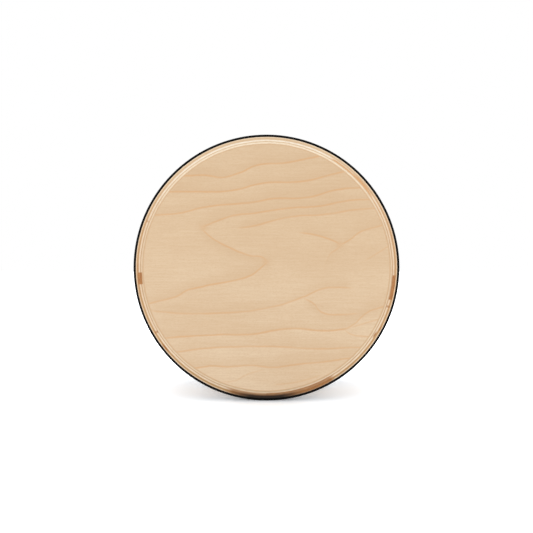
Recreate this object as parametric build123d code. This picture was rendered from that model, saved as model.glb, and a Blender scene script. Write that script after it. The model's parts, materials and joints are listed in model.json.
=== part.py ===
from build123d import *
from math import asin, cos, degrees, radians, sin, sqrt
import os

# A shallow bass drum with a birch plywood plate for its front head, standing on its hoops and rubber feet.
# Millimetres. +Z is up, the front plate faces -Y, and the drum's axis runs along +Y.
# The origin is on the floor, midway between the front of the plate and the tips of the folded spurs.
# "Radius" is a distance from the drum's axis. "Depth" is a distance behind the front edge of the shell.
# An angle round the drum runs anticlockwise from 3 o'clock, as seen from the front.

# ---- driving dimensions ----
INCH = 25.4
SHELL_OD = 403.0  # takes a 16 inch head
SHELL_DEPTH = 6.5 * INCH
SHELL_WALL = 6.0
HOOP_OD = 432.0
GLUE_RING_WALL = 6.0
FRONT_RING_DEPTH = 25.0
REAR_RING_DEPTH = 18.0

PLATE_THICKNESS = 12.0
BLACK_RIM = 4.5  # how far the front hoop shows round the plate
EDGE_WIDTH = 13.3  # the plate's shaped edge, across the face
EDGE_HEIGHT = 9.0  # and back from the face
EDGE_BULGE = 0.9

FRONT_HOOP_DEPTH = 1.0 * INCH
BATTER_HOOP_DEPTH = 1.5 * INCH
BATTER_HOOP_WALL = 11.0
HEAD_THICKNESS = 0.35
HEAD_COLLAR = 8.0  # from the bearing edge down to the rim of the head

LUG_COUNT = 6
ROD_RADIUS = 227.0  # radius of the circle that the tension rods stand on
ROD_R = 3.0
LUG_DEPTH = 124.0
LUG_LENGTH = 44.0

PLATE_SCREW_COUNT = 12

SPUR_ANGLE = -30.0
SPUR_RADIUS = 224.0
SPUR_DEPTH = 112.0
SPUR_CANT = 10.0  # the fold axis rises this much towards its outer end
LEG_R = 5.0
LEG_INNER_END = 26.0  # leg in front of the fold axis, when folded
LEG_OUTER_END = 118.0  # and behind it

FOOT_X = 61.0
FOOT_DEPTH = 108.0
FOOT_LENGTH = 52.0
FOOT_WIDTH = 26.0

RUNNING = 0.05  # radial clearance between parts that turn or slide
LOOSE = 0.2

# ---- worked out from them ----
SHELL_R = SHELL_OD / 2
SHELL_BORE_R = SHELL_R - SHELL_WALL
HOOP_R = HOOP_OD / 2
PLATE_R = HOOP_R - BLACK_RIM
TOTAL_DEPTH = PLATE_THICKNESS + SPUR_DEPTH + LEG_OUTER_END
FRONT_Y = PLATE_THICKNESS - TOTAL_DEPTH / 2
REAR_Y = FRONT_Y + SHELL_DEPTH
AXIS_Z = HOOP_R
DRUM_AXIS = Axis((0, 0, AXIS_Z), (0, 1, 0))
TURN_AXIS = Axis((0, 0, AXIS_Z), (0, -1, 0))
LUG_ANGLES = [i * 360 / LUG_COUNT for i in range(LUG_COUNT)]
PLATE_SCREW_STEP = 360 / PLATE_SCREW_COUNT
PLATE_SCREW_ANGLES = [(i + 0.5) * PLATE_SCREW_STEP for i in range(PLATE_SCREW_COUNT)]
HEAD_RIM_Y = REAR_Y - HEAD_COLLAR
HOOP_REAR_Y = HEAD_RIM_Y + BATTER_HOOP_DEPTH
LUG_Y = FRONT_Y + LUG_DEPTH
SPUR_Y = FRONT_Y + SPUR_DEPTH
FOOT_Y = FRONT_Y + FOOT_DEPTH


# ---- helpers ----
def section(edges, y):
    """A face in the plane of the drum's axis, from edges drawn as (radius, distance behind y)."""
    return Pos(0, y, AXIS_Z) * make_face(edges)


def ring(points, y=FRONT_Y):
    """A ring round the drum's axis, from a polygon of (radius, distance behind y)."""
    return revolve(section(Polyline(*points, close=True), y), DRUM_AXIS)


def disc(radius, thickness, y):
    """A solid disc on the drum's axis, from y backwards."""
    return Plane((0, y, AXIS_Z), z_dir=(0, 1, 0)) * Cylinder(
        radius, thickness, align=(Align.CENTER, Align.CENTER, Align.MIN)
    )


def turned(shape, angle):
    """A shape made at 3 o'clock, moved round the drum."""
    return shape.rotate(TURN_AXIS, angle)


def all_round(shape, angles):
    """Copies of a shape made at 3 o'clock, as separate solids in one group."""
    return Compound(children=[turned(shape, a) for a in angles])


def rod_along_y(x, radius, start, length, z=AXIS_Z):
    """A cylinder along +Y, from start."""
    return Plane((x, start, z), z_dir=(0, 1, 0)) * Cylinder(
        radius, length, align=(Align.CENTER, Align.CENTER, Align.MIN)
    )


def rod_outwards(y, radius, start, length, z=AXIS_Z):
    """A cylinder along +X at 3 o'clock, from the radius start."""
    return Plane((start, y, z), z_dir=(1, 0, 0)) * Cylinder(
        radius, length, align=(Align.CENTER, Align.CENTER, Align.MIN)
    )


def seat_in_bore(radius):
    """Where the flat underside of a screw's head, of this radius, meets the shell's bore."""
    return sqrt(SHELL_BORE_R**2 - radius**2)


def pan_screw(y, radius, head_start, length):
    """A pan-head screw at 3 o'clock with its head towards the axis and a crossed recess."""
    head_height = 1.1 * radius
    head = rod_outwards(y, 2 * radius, head_start - head_height, head_height)
    head = fillet(head.edges().sort_by(Axis.X)[0], 0.4 * head_height)
    recess = Pos(head_start - head_height, y, AXIS_Z) * (
        Box(head_height, 2.2 * radius, 0.5 * radius)
        + Box(head_height, 0.5 * radius, 2.2 * radius)
    )
    return head - recess + rod_outwards(y, radius, head_start, length)


def drill_screw_holes(shape, angles, depths, radius, start, length):
    """Cuts round holes pointing outwards at each angle and depth."""
    for angle in angles:
        for depth in depths:
            hole = rod_outwards(FRONT_Y + depth, radius, start, length)
            shape -= turned(hole, angle)
    return shape


# ---- front plate and front hoop ----
PLATE_SCREW_R = 2.0
PLATE_SCREW_BITE = 5.0  # how far a screw goes into the plate, whose edge is thin there
PLATE_SCREW_LENGTH = FRONT_HOOP_DEPTH + PLATE_SCREW_BITE
PLATE_SCREW_RADIUS = SHELL_R + 4.5


def front_plate():
    """The plywood plate, with a softly crowned bevel round its face."""
    face_r = PLATE_R - EDGE_WIDTH
    slant = sqrt(EDGE_WIDTH**2 + EDGE_HEIGHT**2)
    middle = (
        face_r + EDGE_WIDTH / 2 + EDGE_BULGE * EDGE_HEIGHT / slant,
        EDGE_HEIGHT / 2 - EDGE_BULGE * EDGE_WIDTH / slant,
    )
    straight = Polyline(
        (PLATE_R, EDGE_HEIGHT), (PLATE_R, PLATE_THICKNESS), (0, PLATE_THICKNESS), (0, 0), (face_r, 0)
    )
    bevel = ThreePointArc((face_r, 0), middle, (PLATE_R, EDGE_HEIGHT))
    plate = revolve(section(straight + bevel, FRONT_Y - PLATE_THICKNESS), DRUM_AXIS)
    pilot_depth = PLATE_SCREW_BITE + 0.5
    for angle in PLATE_SCREW_ANGLES:
        pilot = rod_along_y(PLATE_SCREW_RADIUS, PLATE_SCREW_R, FRONT_Y - pilot_depth, pilot_depth)
        plate -= turned(pilot, angle)
    return plate


def front_hoop():
    """The black hoop glued round the front of the shell, which the plate is screwed to from behind."""
    hoop = ring([(SHELL_R, 0), (HOOP_R, 0), (HOOP_R, FRONT_HOOP_DEPTH), (SHELL_R, FRONT_HOOP_DEPTH)])
    outer = hoop.edges().filter_by(GeomType.CIRCLE).sort_by(lambda e: e.radius)[-2:]
    hoop = fillet(outer.sort_by(Axis.Y)[0], 0.3)
    rear_outer = hoop.edges().filter_by(GeomType.CIRCLE).sort_by(Axis.Y)[-2:]
    hoop = fillet(rear_outer.sort_by(lambda e: e.radius)[-1], 2.5)
    rear_y = FRONT_Y + FRONT_HOOP_DEPTH
    for angle in PLATE_SCREW_ANGLES:
        hole = rod_along_y(PLATE_SCREW_RADIUS, PLATE_SCREW_R, FRONT_Y, FRONT_HOOP_DEPTH)
        sink = countersink_cone(rear_y)
        hoop -= turned(hole + sink, angle)
    return hoop


def countersink_cone(rear_y):
    """The cone of a countersunk screw head at 3 o'clock, flush with rear_y."""
    height = 1.1 * PLATE_SCREW_R
    return Plane((PLATE_SCREW_RADIUS, rear_y - height, AXIS_Z), z_dir=(0, 1, 0)) * Cone(
        PLATE_SCREW_R, 2 * PLATE_SCREW_R, height, align=(Align.CENTER, Align.CENTER, Align.MIN)
    )


def front_plate_screws():
    """Countersunk wood screws that run forwards through the hoop into the plate."""
    rear_y = FRONT_Y + FRONT_HOOP_DEPTH
    shank = rod_along_y(
        PLATE_SCREW_RADIUS, PLATE_SCREW_R, rear_y - PLATE_SCREW_LENGTH, PLATE_SCREW_LENGTH
    )
    slot = 0.5 * PLATE_SCREW_R
    recess = Pos(PLATE_SCREW_RADIUS, rear_y, AXIS_Z) * (
        Box(2 * PLATE_SCREW_R, 2 * PLATE_SCREW_R, slot) + Box(slot, 2 * PLATE_SCREW_R, 2 * PLATE_SCREW_R)
    )
    return all_round(shank + countersink_cone(rear_y) - recess, PLATE_SCREW_ANGLES)


# ---- shell ----
LUG_SCREW_R = 2.0
LUG_SCREW_DEPTHS = [LUG_DEPTH - 15.5, LUG_DEPTH + 15.5]
SPUR_PAD_ANGLE = -35.5
SPUR_SCREW_R = 2.5
SPUR_SCREW_LENGTH = 10.0
SPUR_SCREW_DEPTHS = [SPUR_DEPTH - 17, SPUR_DEPTH + 17]
SPUR_PAD_ANGLES = [SPUR_PAD_ANGLE, 180 - SPUR_PAD_ANGLE]
FOOT_SCREW_R = 2.5
FOOT_SCREW_LENGTH = 16.0
FOOT_SCREW_DEPTHS = [FOOT_DEPTH - 14, FOOT_DEPTH + 14]
FOOT_ANGLE = -90 + degrees(asin(FOOT_X / SHELL_R))
FOOT_ANGLES = [FOOT_ANGLE, 180 - FOOT_ANGLE]
VENT_ANGLE = 90.0
VENT_DEPTH = 62.0
VENT_R = 6.0
VENT_SLEEVE_R = 7.2
BEARING_R = SHELL_R - 2.0  # radius of the bearing edge's crest
HOLE_PLAY = 0.2


def shell():
    """The plywood shell, with its rear bearing edge cut at 45 degrees inside and rounded outside."""
    body = ring(
        [
            (SHELL_BORE_R, 0),
            (SHELL_R, 0),
            (SHELL_R, SHELL_DEPTH - 2.0),
            (SHELL_R - 0.6, SHELL_DEPTH - 0.6),
            (BEARING_R, SHELL_DEPTH),
            (SHELL_BORE_R, SHELL_DEPTH - (BEARING_R - SHELL_BORE_R)),
        ]
    )
    start, length = SHELL_BORE_R - 1, SHELL_WALL + 2
    body = drill_screw_holes(
        body, LUG_ANGLES, LUG_SCREW_DEPTHS, LUG_SCREW_R + HOLE_PLAY, start, length
    )
    body = drill_screw_holes(
        body, SPUR_PAD_ANGLES, SPUR_SCREW_DEPTHS, SPUR_SCREW_R + HOLE_PLAY, start, length
    )
    body = drill_screw_holes(
        body, FOOT_ANGLES, FOOT_SCREW_DEPTHS, FOOT_SCREW_R + HOLE_PLAY, start, length
    )
    return drill_screw_holes(body, [VENT_ANGLE], [VENT_DEPTH], VENT_SLEEVE_R, start, length)


def front_glue_ring():
    """The reinforcement hoop inside the front of the shell, which widens the seat for the plate."""
    inner = SHELL_BORE_R - GLUE_RING_WALL
    return ring(
        [(inner, 0), (SHELL_BORE_R, 0), (SHELL_BORE_R, FRONT_RING_DEPTH), (inner, FRONT_RING_DEPTH - 3)]
    )


def rear_glue_ring():
    """The reinforcement hoop inside the rear of the shell, carrying on the 45 degree bearing edge."""
    inner = SHELL_BORE_R - GLUE_RING_WALL
    crest = BEARING_R - SHELL_BORE_R
    return ring(
        [
            (inner, SHELL_DEPTH - REAR_RING_DEPTH + 3),
            (SHELL_BORE_R, SHELL_DEPTH - REAR_RING_DEPTH),
            (SHELL_BORE_R, SHELL_DEPTH - crest),
            (inner, SHELL_DEPTH - crest - GLUE_RING_WALL),
        ]
    )


def air_vent_grommet():
    """The eyelet in the top of the shell: a rounded flange outside and a sleeve through the wall."""
    y = FRONT_Y + VENT_DEPTH
    flange = rod_outwards(y, 11.0, SHELL_R - 1, 3.0)
    flange = fillet(flange.edges().sort_by(Axis.X)[-1], 1.2)
    outside = flange - disc(SHELL_R, SHELL_DEPTH, FRONT_Y)
    sleeve = rod_outwards(y, VENT_SLEEVE_R, SHELL_BORE_R - 2.5, SHELL_WALL + 4)
    eyelet = outside + sleeve - rod_outwards(y, VENT_R, SHELL_BORE_R - 3, SHELL_WALL + 8)
    return turned(eyelet, VENT_ANGLE)


def air_vent_washer():
    """The ring that holds the eyelet from inside the shell."""
    y = FRONT_Y + VENT_DEPTH
    inner = SHELL_BORE_R - 2.2
    washer = rod_outwards(y, 11.0, inner, 4.0) - rod_outwards(y, VENT_SLEEVE_R, inner - 1, 6.0)
    bore = disc(SHELL_BORE_R, SHELL_DEPTH, FRONT_Y)
    return turned(washer & bore, VENT_ANGLE)


def badge_plate():
    """A plain oval plate under the eyelet's flange, curved to the shell."""
    y = FRONT_Y + VENT_DEPTH
    blank = Plane((SHELL_R - 3, y, AXIS_Z), x_dir=(0, 1, 0), z_dir=(1, 0, 0)) * extrude(
        Ellipse(17.0, 26.0) - Circle(11.3), 6
    )
    skin = disc(SHELL_R + 0.8, SHELL_DEPTH, FRONT_Y) - disc(SHELL_R, SHELL_DEPTH, FRONT_Y)
    return turned(blank & skin, VENT_ANGLE)


# ---- batter side ----
HEAD_CLEARANCE = 0.05
RIM_WALL = 6.6
RIM_HEIGHT = 8.0
HEAD_COLLAR_R = SHELL_R + 0.7


def batter_head():
    """The film: flat over the bearing edge, then turned down outside the shell to its rim."""
    bend = 3.0
    inner_flat = SHELL_DEPTH + HEAD_CLEARANCE
    outer_flat = inner_flat + HEAD_THICKNESS
    outer_collar = HEAD_COLLAR_R + HEAD_THICKNESS
    collar_end = SHELL_DEPTH - HEAD_COLLAR
    edges = [
        Line((0, inner_flat), (HEAD_COLLAR_R - bend, inner_flat)),
        RadiusArc((HEAD_COLLAR_R - bend, inner_flat), (HEAD_COLLAR_R, inner_flat - bend), bend),
        Polyline(
            (HEAD_COLLAR_R, inner_flat - bend), (HEAD_COLLAR_R, collar_end), (outer_collar, collar_end),
            (outer_collar, inner_flat - bend),
        ),
        RadiusArc(
            (outer_collar, inner_flat - bend), (HEAD_COLLAR_R - bend, outer_flat), -(bend + HEAD_THICKNESS)
        ),
        Polyline((HEAD_COLLAR_R - bend, outer_flat), (0, outer_flat), (0, inner_flat)),
    ]
    return revolve(section(edges, FRONT_Y), DRUM_AXIS)


def head_rim():
    """The aluminium rim that the film is set in."""
    top = SHELL_DEPTH - HEAD_COLLAR
    outer = HEAD_COLLAR_R + RIM_WALL
    rim = ring(
        [(HEAD_COLLAR_R, top - RIM_HEIGHT), (outer, top - RIM_HEIGHT), (outer, top), (HEAD_COLLAR_R, top)]
    )
    corner = rim.edges().filter_by(GeomType.CIRCLE).sort_by(Axis.Y)[:2].sort_by(lambda e: e.radius)[-1]
    return fillet(corner, 1.5)


def batter_hoop():
    """The black wooden hoop that presses the head's rim towards the lugs."""
    inner = HOOP_R - BATTER_HOOP_WALL
    front = SHELL_DEPTH - HEAD_COLLAR
    rear = front + BATTER_HOOP_DEPTH
    hoop = ring([(inner, front), (HOOP_R, front), (HOOP_R, rear), (inner, rear)])
    rims = hoop.edges().filter_by(GeomType.CIRCLE)
    rear_rims = rims.sort_by(Axis.Y)[-2:]
    front_outer = rims.sort_by(Axis.Y)[:2].sort_by(lambda e: e.radius)[-1]
    return fillet([*rear_rims, front_outer], 2.0)


def pedal_pad():
    """A rubber pad inside the bottom of the batter hoop, where a pedal's clamp bears."""
    outer = HOOP_R - BATTER_HOOP_WALL
    front = SHELL_DEPTH + 4
    rear = SHELL_DEPTH - HEAD_COLLAR + BATTER_HOOP_DEPTH - 3
    outline = Polyline((outer - 1.5, front), (outer, front), (outer, rear), (outer - 1.5, rear), close=True)
    face = section(outline, FRONT_Y)
    pad_arc = 18.0
    pad = revolve(face, TURN_AXIS, revolution_arc=pad_arc)
    return turned(pad, -90 - pad_arc / 2)


def beater_patch():
    """The round patch that takes the beater's blows."""
    start = REAR_Y + HEAD_CLEARANCE + HEAD_THICKNESS
    patch = disc(32.0, 0.8, start)
    return fillet(patch.edges().sort_by(Axis.Y)[-1], 0.35)


# ---- tension hardware, made at 3 o'clock ----
CLAW_ARC = 7.0
CLAW_WALL = 3.0
LINER = 1.0
CLAW_LIP = 13.0  # how far the claw reaches inside the hoop
EAR_Y = REAR_Y + 10.0
EAR_THICKNESS = 5.0
EAR_R = 8.5
CLAW_REAR_Y = HOOP_REAR_Y + LINER + CLAW_WALL


def swept_sector(points, arc):
    """A sector round 3 o'clock, from a polygon of (radius, distance behind the shell's rear edge)."""
    face = section(Polyline(*points, close=True), REAR_Y)
    return turned(revolve(face, TURN_AXIS, revolution_arc=arc), -arc / 2)


def hook_outline(gap, wall, lip, skirt):
    """The U of a claw or its liner: gap off the hoop, and reaching lip inside it and skirt outside it."""
    rear = HOOP_REAR_Y - REAR_Y
    inner, outer = HOOP_R - BATTER_HOOP_WALL - gap, HOOP_R + gap
    return [
        (inner, rear - lip), (inner, rear + gap), (outer, rear + gap), (outer, rear - skirt),
        (outer + wall, rear - skirt), (outer + wall, rear + gap + wall),
        (inner - wall, rear + gap + wall), (inner - wall, rear - lip),
    ]


def claw_liner():
    """The soft liner between a claw and the hoop."""
    skirt = HOOP_REAR_Y - EAR_Y
    return swept_sector(hook_outline(0.0, LINER, CLAW_LIP - 1, skirt), CLAW_ARC - 0.6)


def claw():
    """The cast claw hook: a U over the hoop, and an ear that the tension rod passes through."""
    skirt = HOOP_REAR_Y - EAR_Y
    hook = swept_sector(hook_outline(LINER, CLAW_WALL, CLAW_LIP, skirt), CLAW_ARC)
    rims = hook.edges().filter_by(GeomType.LINE)
    hook = fillet(rims.filter_by(lambda e: e.center().Y > CLAW_REAR_Y - 0.1), 1.4)
    ear = rod_along_y(ROD_RADIUS, EAR_R, EAR_Y, EAR_THICKNESS)
    web = Pos((HOOP_R + LINER + ROD_RADIUS) / 2, EAR_Y + EAR_THICKNESS / 2, AXIS_Z) * Box(
        ROD_RADIUS - HOOP_R - LINER, EAR_THICKNESS, 2 * EAR_R
    )
    body = hook + (ear + web - disc(HOOP_R + LINER, SHELL_DEPTH, EAR_Y - 20))
    gusset = gusset_plate()
    return body + gusset - rod_along_y(ROD_RADIUS, ROD_R + 0.6, EAR_Y - 1, EAR_THICKNESS + 2)


def gusset_plate():
    """The pair of ribs that stiffen a claw's ear from behind, either side of the rod."""
    back = HOOP_R + LINER + CLAW_WALL - 0.5
    rise = 13.0
    outline = Polyline(
        (back, EAR_Y + EAR_THICKNESS), (ROD_RADIUS + 2, EAR_Y + EAR_THICKNESS),
        (back, EAR_Y + EAR_THICKNESS + rise), close=True,
    )
    rib = extrude(Pos(0, 0, AXIS_Z - 1.0) * make_face(outline), 2.0)
    return Pos(0, 0, EAR_R + 0.5) * rib + Pos(0, 0, -EAR_R - 0.5) * rib


HANDLE_REACH = 18.0
HANDLE_Y = CLAW_REAR_Y + 6.5
COLLAR_R = 6.3
NUT_LENGTH = 16.0
ROD_FRONT_Y = LUG_Y - NUT_LENGTH / 2 - 5.0


def tension_rod():
    """A T-rod: threaded shank, collar against the claw's ear, neck, and a crossbar with swelled ends."""
    collar_y = EAR_Y + EAR_THICKNESS + 0.1
    shank = rod_along_y(ROD_RADIUS, ROD_R, ROD_FRONT_Y, collar_y - ROD_FRONT_Y)
    shank = chamfer(shank.edges().sort_by(Axis.Y)[0], 0.8)
    collar = rod_along_y(ROD_RADIUS, COLLAR_R, collar_y, 3.0)
    collar = fillet(collar.edges().sort_by(Axis.Y)[-1], 1.0)
    neck = rod_along_y(ROD_RADIUS, 3.8, collar_y + 3.0, HANDLE_Y - collar_y - 3.0)
    half = [(0, 3.9), (7, 3.4), (13, 3.6), (HANDLE_REACH - 2.5, 4.4)]
    side = Spline(*half, tangents=[(1, 0), (1, 0.1)])
    end = Spline(half[-1], (HANDLE_REACH, 0), tangents=[(1, 0.1), (0, -1)])
    outline = side + end + Line((HANDLE_REACH, 0), (0, 0)) + Line((0, 0), half[0])
    wing = revolve(make_face(outline), Axis.X)
    bar = wing + mirror(wing, Plane.YZ)
    stands = Plane((ROD_RADIUS, HANDLE_Y, AXIS_Z), x_dir=(0, 0, 1), z_dir=(0, 1, 0))
    return shank + collar + neck + stands * bar


GASKET = 0.8
LUG_SEAT_R = SHELL_R + GASKET
LUG_BOSS_R = 8.4
LUG_HALF_BASE = 11.0
NUT_R = 5.8


def lug():
    """A cast lug: a round-nosed barrel for the rod, standing on a waisted foot that is hollow for the nut."""
    rear = LUG_Y + LUG_LENGTH / 2
    nose = LUG_Y - LUG_LENGTH / 2 + LUG_BOSS_R
    barrel = rod_along_y(ROD_RADIUS, LUG_BOSS_R, nose, rear - nose)
    barrel += Pos(ROD_RADIUS, nose, AXIS_Z) * Sphere(LUG_BOSS_R)
    waist = LUG_BOSS_R - 1.6
    foot_profile = Polyline(
        (SHELL_R - 2, -LUG_HALF_BASE), (SHELL_R + 4.5, -LUG_HALF_BASE), (ROD_RADIUS, -waist),
        (ROD_RADIUS, waist), (SHELL_R + 4.5, LUG_HALF_BASE), (SHELL_R - 2, LUG_HALF_BASE), close=True,
    )
    upright = Plane((0, LUG_Y + LUG_LENGTH / 2, AXIS_Z), x_dir=(1, 0, 0), z_dir=(0, -1, 0))
    foot = extrude(upright * make_face(foot_profile), LUG_LENGTH)
    foot = fillet(foot.edges().filter_by(Axis.X), 6.0)
    body = foot + barrel
    pocket = Pos((SHELL_R + ROD_RADIUS) / 2, LUG_Y, AXIS_Z) * Box(
        ROD_RADIUS - SHELL_R + 4, NUT_LENGTH + 2 * LOOSE, 2 * (NUT_R + LOOSE)
    )
    pocket += rod_along_y(ROD_RADIUS, NUT_R + LOOSE, LUG_Y - NUT_LENGTH / 2 - LOOSE, NUT_LENGTH + 2 * LOOSE)
    bore = rod_along_y(ROD_RADIUS, ROD_R + 0.6, ROD_FRONT_Y - 1.5, rear - ROD_FRONT_Y + 2.5)
    body = body - pocket - bore - disc(LUG_SEAT_R, SHELL_DEPTH, FRONT_Y)
    for depth in LUG_SCREW_DEPTHS:
        body -= rod_outwards(FRONT_Y + depth, LUG_SCREW_R, SHELL_R, 10.5)
    return body


def lug_nut():
    """The brass nut that floats in a lug's pocket."""
    y = LUG_Y - NUT_LENGTH / 2
    return rod_along_y(ROD_RADIUS, NUT_R, y, NUT_LENGTH) - rod_along_y(
        ROD_RADIUS, ROD_R + RUNNING, y - 1, NUT_LENGTH + 2
    )


def lug_gasket():
    """The thin gasket between a lug and the shell."""
    blank = Pos(SHELL_R, LUG_Y, AXIS_Z) * Box(6, LUG_LENGTH + 2, 2 * LUG_HALF_BASE + 2)
    blank = fillet(blank.edges().filter_by(Axis.X), 6.8)
    skin = disc(LUG_SEAT_R, SHELL_DEPTH, FRONT_Y) - disc(SHELL_R, SHELL_DEPTH, FRONT_Y)
    gasket = blank & skin
    for depth in LUG_SCREW_DEPTHS:
        gasket -= rod_outwards(FRONT_Y + depth, LUG_SCREW_R + HOLE_PLAY, SHELL_R - 4, 8)
    return gasket


WASHER = 1.0


def lug_screws():
    """Two machine screws for each lug, from inside the shell."""
    length = SHELL_WALL + WASHER + GASKET + 8.0
    pair = [
        pan_screw(FRONT_Y + depth, LUG_SCREW_R, SHELL_BORE_R - WASHER, length) for depth in LUG_SCREW_DEPTHS
    ]
    return Compound(children=[turned(s, a) for a in LUG_ANGLES for s in pair])


def lug_washers():
    """A curved washer under each lug screw's head."""
    washers = []
    for depth in LUG_SCREW_DEPTHS:
        y = FRONT_Y + depth
        washer = rod_outwards(y, 5.0, SHELL_BORE_R - WASHER, WASHER + 0.5)
        washer -= rod_outwards(y, LUG_SCREW_R + HOLE_PLAY, SHELL_BORE_R - 3, 6)
        washers.append(washer & disc(SHELL_BORE_R, SHELL_DEPTH, FRONT_Y))
    return Compound(children=[turned(w, a) for a in LUG_ANGLES for w in washers])


# ---- spurs, made on the right-hand side ----
FOLD_DIRECTION = Vector(cos(radians(SPUR_CANT)), 0, sin(radians(SPUR_CANT)))
FOLD_POINT = Vector(
    SPUR_RADIUS * cos(radians(SPUR_ANGLE)), SPUR_Y, AXIS_Z + SPUR_RADIUS * sin(radians(SPUR_ANGLE))
)
SOCKET_R = 11.0
SOCKET_INNER = -16.0  # along the fold axis from the leg's centre
SOCKET_OUTER = 8.5
BRACKET_TOP = SOCKET_INNER - LOOSE
PIVOT_R = 4.0
PIVOT_REACH = 10.0
PIVOT_SEAT = 8.0
KEY_BOLT_R = 3.0


def on_fold_axis(radius, start, end):
    """A cylinder on the fold axis between two distances from the leg's centre."""
    return Plane(FOLD_POINT, x_dir=(0, 1, 0), z_dir=FOLD_DIRECTION) * Cylinder(
        radius, end - start, align=(Align.CENTER, Align.CENTER, Align.MIN)
    ).moved(Pos(0, 0, start))


def along_leg(radius, start, end):
    """A cylinder on the folded leg's centre line between two distances behind the fold axis."""
    return rod_along_y(FOLD_POINT.X, radius, SPUR_Y + start, end - start, FOLD_POINT.Z)


def spur_bracket():
    """The cast bracket: a pad curved to the shell and a canted boss that the socket turns on."""
    pad = Pos(SHELL_R + 2, SPUR_Y, AXIS_Z) * Box(8, 48, 34)
    pad = fillet(pad.edges().filter_by(Axis.X), 10.0)
    pad = fillet(pad.edges().sort_by(Axis.X)[-8:], 1.5)
    boss = on_fold_axis(SOCKET_R, -45, BRACKET_TOP)
    bracket = turned(pad, SPUR_PAD_ANGLE) + boss - disc(LUG_SEAT_R, SHELL_DEPTH, FRONT_Y)
    bracket -= on_fold_axis(PIVOT_R, SOCKET_INNER - PIVOT_SEAT, 0)
    bracket -= on_fold_axis(SOCKET_R + 0.4, BRACKET_TOP, 0)
    return drill_screw_holes(
        bracket, [SPUR_PAD_ANGLE], SPUR_SCREW_DEPTHS, SPUR_SCREW_R, SHELL_R, 4.6
    )


def spur_gasket():
    """The gasket between a bracket's pad and the shell."""
    blank = Pos(SHELL_R, SPUR_Y, AXIS_Z) * Box(6, 50, 36)
    blank = fillet(blank.edges().filter_by(Axis.X), 11.0)
    skin = disc(LUG_SEAT_R, SHELL_DEPTH, FRONT_Y) - disc(SHELL_R, SHELL_DEPTH, FRONT_Y)
    gasket = turned(blank & skin, SPUR_PAD_ANGLE)
    return drill_screw_holes(
        gasket, [SPUR_PAD_ANGLE], SPUR_SCREW_DEPTHS, SPUR_SCREW_R + HOLE_PLAY, SHELL_R - 4, 8
    )


def spur_screws():
    """Two machine screws for each bracket, from inside the shell."""
    screws = [
        turned(pan_screw(FRONT_Y + d, SPUR_SCREW_R, seat_in_bore(2 * SPUR_SCREW_R), SPUR_SCREW_LENGTH), a)
        for a in SPUR_PAD_ANGLES
        for d in SPUR_SCREW_DEPTHS
    ]
    return Compound(children=screws)


def spur_pivot_pin():
    """The steel pin pressed into the bracket, which the socket turns on."""
    return on_fold_axis(PIVOT_R, SOCKET_INNER - PIVOT_SEAT, SOCKET_INNER + PIVOT_REACH)


def spur_socket():
    """The round socket that swings on the pin and holds the leg in a cross bore."""
    puck = on_fold_axis(SOCKET_R, SOCKET_INNER, SOCKET_OUTER)
    ends = puck.edges().filter_by(GeomType.CIRCLE).sort_by(lambda e: e.center().X)
    puck = fillet(ends[-1], 2.0)
    puck = puck - on_fold_axis(PIVOT_R + RUNNING, SOCKET_INNER - 1, SOCKET_INNER + PIVOT_REACH + 0.5)
    puck -= along_leg(LEG_R + RUNNING, -20, 20)
    return puck - on_fold_axis(KEY_BOLT_R + RUNNING, 0, SOCKET_OUTER + 1)


TIP_LENGTH = 24.0
TIP_TRAVEL = 8.0
THREAD_R = 4.0


def spur_leg():
    """The steel leg: plain where it slides in the socket, threaded for the tip, and ending in a spike."""
    shoulder = LEG_OUTER_END - TIP_LENGTH - TIP_TRAVEL - 2.0
    spike_start = LEG_OUTER_END - 7.0
    plain = along_leg(LEG_R, -LEG_INNER_END, shoulder)
    plain = fillet(plain.edges().sort_by(Axis.Y)[0], 1.0)
    thread = along_leg(THREAD_R, shoulder, spike_start)
    spike = Plane((FOLD_POINT.X, SPUR_Y + spike_start, FOLD_POINT.Z), z_dir=(0, 1, 0)) * Cone(
        THREAD_R, 0.6, 6.0, align=(Align.CENTER, Align.CENTER, Align.MIN)
    )
    return plain + thread + spike


def spur_tip():
    """The rubber tip, which screws up the leg to bare the spike."""
    start = LEG_OUTER_END - TIP_LENGTH
    blank = along_leg(8.0, start, LEG_OUTER_END)
    groove_step = 5.0
    for i in range(3):
        middle = start + 5.0 + i * groove_step
        blank -= along_leg(8.5, middle, middle + 1.6) - along_leg(7.0, middle, middle + 1.6)
    blank = fillet(blank.edges().sort_by(Axis.Y)[0], 1.5)
    blank = fillet(blank.edges().sort_by(Axis.Y)[-1], 2.0)
    return blank - along_leg(THREAD_R + RUNNING, start - 1, LEG_OUTER_END + 1)


def spur_key_bolt():
    """The square-headed bolt on the fold axis that clamps the leg in its socket."""
    flange = on_fold_axis(5.6, SOCKET_OUTER + 0.1, SOCKET_OUTER + 1.6)
    shank = on_fold_axis(KEY_BOLT_R, LEG_R + 0.15, SOCKET_OUTER + 0.2)
    head = Plane(FOLD_POINT, x_dir=(0, 1, 0), z_dir=FOLD_DIRECTION) * (
        Pos(0, 0, SOCKET_OUTER + 4.4) * Box(6.0, 6.0, 6.0)
    )
    return flange + shank + head


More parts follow.
